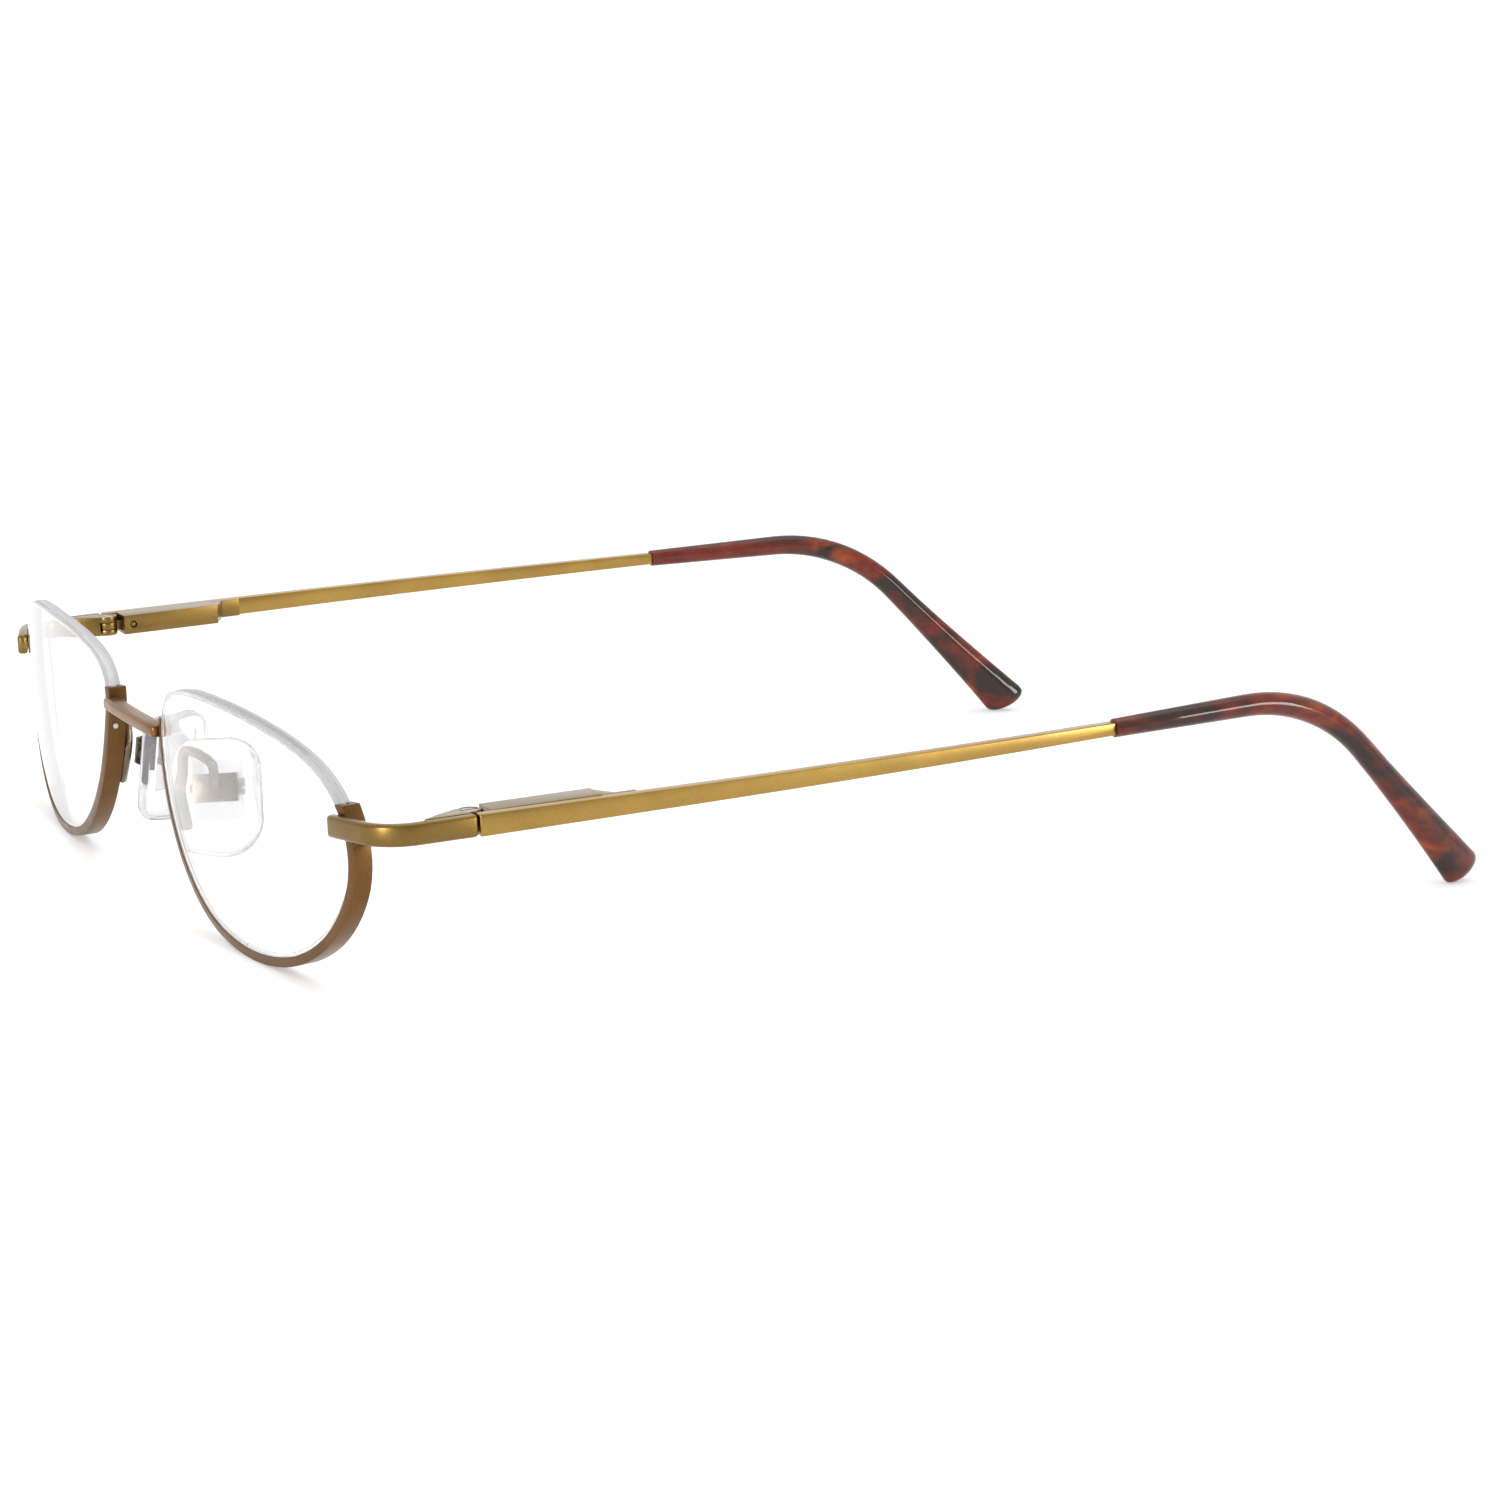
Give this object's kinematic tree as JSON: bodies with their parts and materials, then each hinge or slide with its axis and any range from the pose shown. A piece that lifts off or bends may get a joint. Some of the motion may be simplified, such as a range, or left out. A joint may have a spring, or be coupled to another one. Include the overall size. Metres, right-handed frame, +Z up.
{
  "type": "half-rim eyeglasses",
  "caption": "Half-rim eyeglasses with clear lenses held by lower metal rims and a retaining line, adjustable nose pads, spring hinges and moulded temple tips.",
  "frame": {"origin": "centre of the bounding box in plan, on the surface that the open glasses stand on", "axes": "+X towards the wearer's left, +Y from the front back along the temples, +Z up"},
  "size_m": [0.133, 0.1459, 0.028],
  "materials": {
    "lens_clear": "clear polished lens",
    "rim_bronze": "satin bronze plating",
    "strap_gold": "satin antique gold plating",
    "bridge_gold": "satin antique gold plating",
    "bar_gold": "satin antique gold plating",
    "arm_metal": "satin plated wire",
    "screw_steel": "bright steel",
    "liner_polymer": "translucent polymer strip",
    "line_polymer": "translucent polymer line",
    "core_clear": "clear hard core",
    "pad_silicone": "clear soft silicone",
    "tip_tortoise": "glossy mottled dark red-brown acetate"
  },
  "bodies": {
    "front": {"bridge": "bridge_gold", "left_lens": "lens_clear", "right_lens": "lens_clear", "left_rim": "rim_bronze", "right_rim": "rim_bronze", "left_rim_liner": "liner_polymer", "right_rim_liner": "liner_polymer", "left_lens_line": "line_polymer", "right_lens_line": "line_polymer", "left_endpiece": "strap_gold", "right_endpiece": "strap_gold", "left_pad_arm": "arm_metal", "right_pad_arm": "arm_metal", "left_pad_box": "arm_metal", "right_pad_box": "arm_metal", "left_pad_screw": "screw_steel", "right_pad_screw": "screw_steel", "left_hinge_leaf": "strap_gold", "right_hinge_leaf": "strap_gold"},
    "left_pad": {"left_pad_core": "core_clear", "left_nose_pad": "pad_silicone"},
    "left_pivot": {"left_hinge_screw": "screw_steel"},
    "left_slider": {"left_hinge_carriage": "strap_gold"},
    "left_temple": {"left_spring_housing": "strap_gold", "left_spring_stop": "screw_steel", "left_stop_pin": "strap_gold", "left_hinge_spring": "screw_steel", "left_temple_bar": "bar_gold", "left_temple_tip": "tip_tortoise"},
    "right_pad": {"right_pad_core": "core_clear", "right_nose_pad": "pad_silicone"},
    "right_pivot": {"right_hinge_screw": "screw_steel"},
    "right_slider": {"right_hinge_carriage": "strap_gold"},
    "right_temple": {"right_spring_housing": "strap_gold", "right_spring_stop": "screw_steel", "right_stop_pin": "strap_gold", "right_hinge_spring": "screw_steel", "right_temple_bar": "bar_gold", "right_temple_tip": "tip_tortoise"}
  },
  "joints": [
    {"name": "left_flex", "type": "hinge", "parent": "front", "child": "left_pivot", "pos_m": [0.0635, -0.05562, 0.01979], "axis": [0, -0.0479, 0.9989], "range_deg": [-12, 0], "stiffness_Nm_per_rad": 0.15, "springref_deg": 5.73},
    {"name": "left_fold", "type": "hinge", "parent": "left_pivot", "child": "left_slider", "pos_m": [0.0635, -0.05562, 0.01979], "axis": [0, -0.0479, 0.9989], "range_deg": [0, 90]},
    {"name": "left_slide", "type": "slide", "parent": "left_slider", "child": "left_temple", "axis": [0, 0.9989, 0.0479], "range_m": [0, 0.0008], "deforming": ["left_hinge_spring"]},
    {"name": "left_pad_rock", "type": "hinge", "parent": "front", "child": "left_pad", "pos_m": [0.0114, -0.06541, 0.01402], "axis": [0.3746, 0.9261, 0.0444], "range_deg": [-8, 8]},
    {"name": "right_flex", "type": "hinge", "parent": "front", "child": "right_pivot", "pos_m": [-0.0635, -0.05562, 0.01979], "axis": [0, 0.0479, -0.9989], "range_deg": [-12, 0], "stiffness_Nm_per_rad": 0.15, "springref_deg": 5.73},
    {"name": "right_fold", "type": "hinge", "parent": "right_pivot", "child": "right_slider", "pos_m": [-0.0635, -0.05562, 0.01979], "axis": [0, 0.0479, -0.9989], "range_deg": [0, 86]},
    {"name": "right_slide", "type": "slide", "parent": "right_slider", "child": "right_temple", "axis": [0, 0.9989, 0.0479], "range_m": [0, 0.0008], "deforming": ["right_hinge_spring"]},
    {"name": "right_pad_rock", "type": "hinge", "parent": "front", "child": "right_pad", "pos_m": [-0.0114, -0.06541, 0.01402], "axis": [0.3746, -0.9261, -0.0444], "range_deg": [-8, 8]}
  ],
  "couplings": [
    {"joint": "left_slide", "follows": "left_flex", "m_per_rad": -0.003819},
    {"joint": "right_slide", "follows": "right_flex", "m_per_rad": -0.003819}
  ]
}
